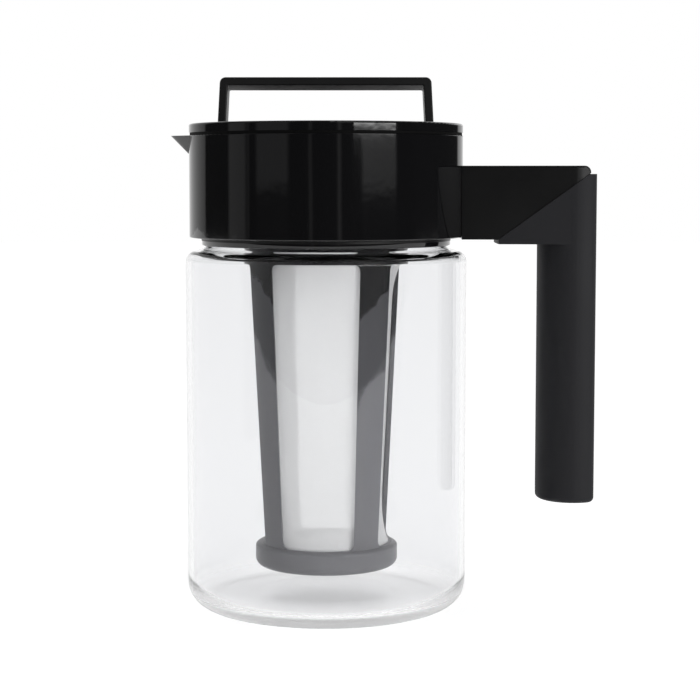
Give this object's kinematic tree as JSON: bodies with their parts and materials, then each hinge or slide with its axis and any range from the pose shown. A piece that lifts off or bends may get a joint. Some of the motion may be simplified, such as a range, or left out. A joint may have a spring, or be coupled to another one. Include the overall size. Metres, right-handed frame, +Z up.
{
  "type": "cold brew pitcher",
  "caption": "Clear jar with a black collar, spout beak and bar handle, a twist-off lid with a folding bail, and a conical mesh filter that hangs from the lid.",
  "frame": {"origin": "centre of the jar's base, on the surface that it stands on", "axes": "+Z up along the jar's axis, +X towards the handle, -X towards the spout"},
  "size_m": [0.1608, 0.107, 0.2014],
  "materials": {
    "clear_plastic": "clear moulded plastic, polished",
    "gloss_black": "glossy moulded plastic",
    "satin_black": "satin moulded plastic",
    "soft_charcoal": "soft-touch rubber",
    "seal_black": "matte silicone",
    "silicone_grey": "translucent silicone",
    "screw_steel": "plain stainless steel",
    "filter_black": "moulded plastic",
    "filter_mesh": "fine woven nylon mesh"
  },
  "bodies": {
    "pitcher": {"jar": "clear_plastic", "neck_gasket": "silicone_grey", "neck_ring": "satin_black", "collar": "gloss_black", "handle_core": "satin_black", "grip_sleeve": "soft_charcoal", "handle_screw": "screw_steel"},
    "lid_seal": {"rim_seal": "seal_black"},
    "lid": {"lid_cover": "gloss_black", "lid_plug": "gloss_black", "plug_gasket": "silicone_grey"},
    "bail": {"bail": "gloss_black"},
    "filter_seal": {"filter_gasket": "silicone_grey"},
    "filter": {"filter_collar": "filter_black", "filter_frame": "filter_black", "filter_floor": "filter_black", "mesh_panel_1": "filter_mesh", "mesh_panel_2": "filter_mesh", "mesh_panel_3": "filter_mesh", "mesh_panel_4": "filter_mesh"}
  },
  "joints": [
    {"name": "lid_lift", "type": "slide", "parent": "pitcher", "child": "lid_seal", "axis": [0, 0, 1], "range_m": [0, 0.17]},
    {"name": "lid_turn", "type": "hinge", "parent": "lid_seal", "child": "lid", "pos_m": [0, 0, 0.18], "axis": [0, 0, 1], "range_deg": [-75, 0]},
    {"name": "bail_fold", "type": "hinge", "parent": "lid", "child": "bail", "pos_m": [0, -0.006, 0.1775], "axis": [1, 0, 0], "range_deg": [-83.5, 6.5]},
    {"name": "filter_drop", "type": "slide", "parent": "lid", "child": "filter_seal", "axis": [0, 0, -1], "range_m": [0, 0.009]},
    {"name": "filter_twist", "type": "hinge", "parent": "filter_seal", "child": "filter", "pos_m": [0, 0, 0.14], "axis": [0, 0, 1], "range_deg": [0, 30]}
  ]
}
